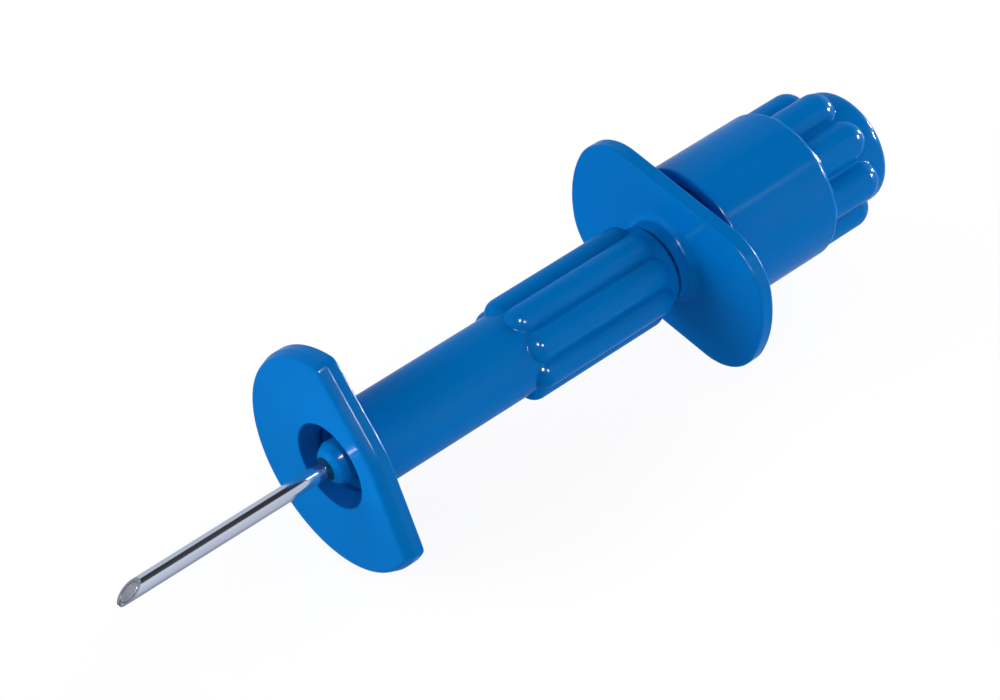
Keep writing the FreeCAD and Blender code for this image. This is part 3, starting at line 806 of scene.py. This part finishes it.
# The guard's moulding wears the blue with painted shade in its mouth.
make_piece("guard_moulding", guard_surface(), "guard", GUARD_BLUE_PAINTED_SHADE, "blue_plastic", ["guard_sleeve"],
           close_rows=True)
make_piece("winged_flange", flange_surface(), "handle", BLUE, "blue_plastic", ["finger_flange"],
           close_rows=True)
make_piece("ribbed_cap", cap_surface(), "stylet_unit", BLUE, "blue_plastic", ["stylet_cap"],
           start_pole=[CAP_LOW[0] + CAP_LENGTH - CAP_ROOF, 0, 0], end_pole=[CAP_HIGH[0], 0, 0])
make_piece("needle_tube", cannula_surface(), "handle", NEEDLE_STEEL, "needle_steel", ["cannula"],
           close_rows=True)
make_piece("stylet_rod", stylet_surface(), "stylet_unit", STYLET_STEEL, "needle_steel", ["stylet"],
           start_pole=[float(bevel_station(0.0, 0.0)), 0, 0], end_pole=[STYLET_HIGH[0], 0, 0])
make_piece("threaded_hub", hub_surface(), "handle", BLUE, "blue_plastic", ["cannula_hub"], close_rows=True)
# The cement ring's dark tone is painted shade at the needle's root.
make_piece("cement_ring", bond_surface(), "handle", CEMENT_PAINTED_SHADE, "clear_cement", ["needle_bond"], close_rows=True)

dress_node("guard_insert", INSERT)
dress_node("guard_friction_ring", RUBBER)
dress_node("luer_socket", SOCKET)
dress_node("luer_plug", SOCKET)
dress_node("stylet_collar", BRASS)


def add_floor():
    """A pale floor under the lowest point. It looks white to the camera and keeps a soft shadow."""
    level = float(CAD_BOX[0][2]) - FLOOR_GAP
    signs = [(-1, -1), (1, -1), (1, 1), (-1, 1)]
    mesh = bpy.data.meshes.new("floor")
    mesh.from_pydata([(x * FLOOR_SIZE, y * FLOOR_SIZE, level) for x, y in signs], [], [(0, 1, 2, 3)])
    floor = bpy.data.objects.new("floor", mesh)
    bpy.context.scene.collection.objects.link(floor)
    material, nodes, links, surface = shader("pale_floor")
    surface.inputs["Base Color"].default_value = FLOOR_TONE
    surface.inputs["Roughness"].default_value = 1.0
    surface.inputs["Specular IOR Level"].default_value = 0.0
    white = nodes.new("ShaderNodeEmission")
    white.inputs["Color"].default_value = (1, 1, 1, 1)
    white.inputs["Strength"].default_value = FLOOR_WHITE
    path = nodes.new("ShaderNodeLightPath")
    share = worked(nodes, links, "MULTIPLY", path.outputs["Is Camera Ray"], FLOOR_SHARE)
    mix = nodes.new("ShaderNodeMixShader")
    links.new(share, mix.inputs["Fac"])
    links.new(surface.outputs["BSDF"], mix.inputs[1])
    links.new(white.outputs["Emission"], mix.inputs[2])
    links.new(mix.outputs["Shader"], nodes["Material Output"].inputs["Surface"])
    mesh.materials.append(material)
    floor.visible_glossy = False


def add_world():
    """A pale sky: white to the camera, a soft grey light, and a pale room with a dark ceiling in gloss.

    The ceiling's edge comes from the direction's angle about the needle's axis: dark within
    a band overhead and pale beyond it. The room also darkens low down, on the needle's side.
    """
    world = bpy.data.worlds.new("studio")
    bpy.context.scene.world = world
    world.use_nodes = True
    nodes = world.node_tree.nodes
    links = world.node_tree.links

    direction = nodes.new("ShaderNodeTexCoord")
    parts = nodes.new("ShaderNodeSeparateXYZ")
    links.new(direction.outputs["Generated"], parts.inputs["Vector"])
    angle = worked(nodes, links, "ARCTAN2", parts.outputs["Z"], parts.outputs["Y"])
    off = worked(nodes, links, "ABSOLUTE", worked(nodes, links, "SUBTRACT", angle, CEILING_MIDDLE))
    edge = ramp(
        nodes, links, off, CEILING_HALF - CEILING_SOFT, CEILING_HALF + CEILING_SOFT, CEILING_DARK,
        smooth=True)
    height = worked(nodes, links, "MULTIPLY", parts.outputs["Z"], WALL_SLOPE)
    place = worked(nodes, links, "ADD", parts.outputs["X"], height)
    wall = ramp(nodes, links, place, *WALL_SPAN, WALL_DARK, smooth=True)

    soft = nodes["Background"]
    soft.inputs["Color"].default_value = (1, 1, 1, 1)
    soft.inputs["Strength"].default_value = SKY_LIGHT
    room = nodes.new("ShaderNodeBackground")
    room.inputs["Color"].default_value = ROOM_COLOUR
    links.new(worked(nodes, links, "MULTIPLY", edge, wall), room.inputs["Strength"])
    seen = nodes.new("ShaderNodeBackground")
    seen.inputs["Strength"].default_value = 1.0
    path = nodes.new("ShaderNodeLightPath")
    gloss = nodes.new("ShaderNodeMixShader")
    links.new(path.outputs["Is Glossy Ray"], gloss.inputs["Fac"])
    links.new(soft.outputs["Background"], gloss.inputs[1])
    links.new(room.outputs["Background"], gloss.inputs[2])
    mix = nodes.new("ShaderNodeMixShader")
    straight = worked(
        nodes, links, "MAXIMUM", path.outputs["Is Camera Ray"], path.outputs["Is Transmission Ray"])
    links.new(straight, mix.inputs["Fac"])
    links.new(gloss.outputs["Shader"], mix.inputs[1])
    links.new(seen.outputs["Background"], mix.inputs[2])
    links.new(mix.outputs["Shader"], nodes["World Output"].inputs["Surface"])


def add_lamp(name, direction, distance, size, power, soft):
    """A square lamp that faces the part: a soft one lights it, and a small one only shines in its gloss."""
    data = bpy.data.lights.new(name, "AREA")
    data.size = size
    data.energy = power
    lamp = bpy.data.objects.new(name, data)
    towards = Vector(direction).normalized()
    lamp.location = Vector(MIDDLE) + towards * distance
    lamp.rotation_euler = towards.to_track_quat("Z", "Y").to_euler()
    lamp.visible_glossy = not soft
    lamp.visible_diffuse = soft
    bpy.context.scene.collection.objects.link(lamp)


# The point that every lamp faces, in metres
MIDDLE = (0.024, 0, 0)

# The floor, in metres, and how much of it is white of its own to the camera
FLOOR_SIZE = 3.0
FLOOR_GAP = 0.00005
FLOOR_TONE = (0.9, 0.9, 0.9, 1)
FLOOR_WHITE = 1.05
FLOOR_SHARE = 0.85

# The room: its light, the dark ceiling's band about the needle's axis, and the low wall's dark part
SKY_LIGHT = 0.45
ROOM_COLOUR = (0.55, 0.61, 0.76, 1)
CEILING_MIDDLE = float(np.radians(85))
CEILING_HALF = float(np.radians(33))
CEILING_SOFT = float(np.radians(5))
CEILING_DARK = 0.03
WALL_SLOPE = 0.6
WALL_SPAN = (-0.5, 0.3)
WALL_DARK = 0.2

# The photograph's camera: its place in metres, its axes in the part's frame, its lens and its sensor
CAMERA_PLACE = (-0.1580, -0.1753, 0.2715)
CAMERA_RIGHT = (0.7398, -0.6702, 0.0594)
CAMERA_FORWARD = (0.4891, 0.4750, -0.7315)
CAMERA_LENS = 131.9
CAMERA_SENSOR = 36.0

# Each lamp's name, direction, distance and size in metres, power in watts, and whether it is soft
LAMPS = (
    ("left_light", (-0.85, 0.45, 0.25), 0.9, 0.6, 6.8, True),
    ("low_fill", (0.35, -0.9, 0.15), 0.9, 0.7, 4.4, True),
    ("rear_light", (1.0, 0.1, 0.3), 0.9, 0.6, 6.4, True),
    ("left_glint", (-0.43, -0.33, 0.84), 1.0, 0.16, 90, False),
    ("front_glint", (0.56, -0.43, 0.705), 1.0, 0.07, 0.18, False),
    ("edge_glint", (-0.03, -0.705, 0.707), 1.0, 0.12, 40, False),
    ("rear_edge_glint", (0.87, -0.39, 0.30), 1.0, 0.14, 60, False),
    ("end_glint", (1.0, 0.03, 0.02), 1.0, 0.1, 30, False),
)


def add_camera():
    """The camera, square to its own axes: right, up and back make its turn."""
    forward = Vector(CAMERA_FORWARD).normalized()
    right = Vector(CAMERA_RIGHT)
    right = (right - forward * right.dot(forward)).normalized()
    up = right.cross(forward)
    data = bpy.data.cameras.new("camera")
    data.lens = CAMERA_LENS
    data.sensor_width = CAMERA_SENSOR
    camera = bpy.data.objects.new("camera", data)
    turn = Matrix((right, up, -forward)).transposed()
    camera.matrix_world = Matrix.Translation(CAMERA_PLACE) @ turn.to_4x4()
    bpy.context.scene.collection.objects.link(camera)
    bpy.context.scene.camera = camera


add_floor()
add_world()
add_camera()
for lamp in LAMPS:
    add_lamp(*lamp)
bpy.context.scene.view_settings.view_transform = "Standard"
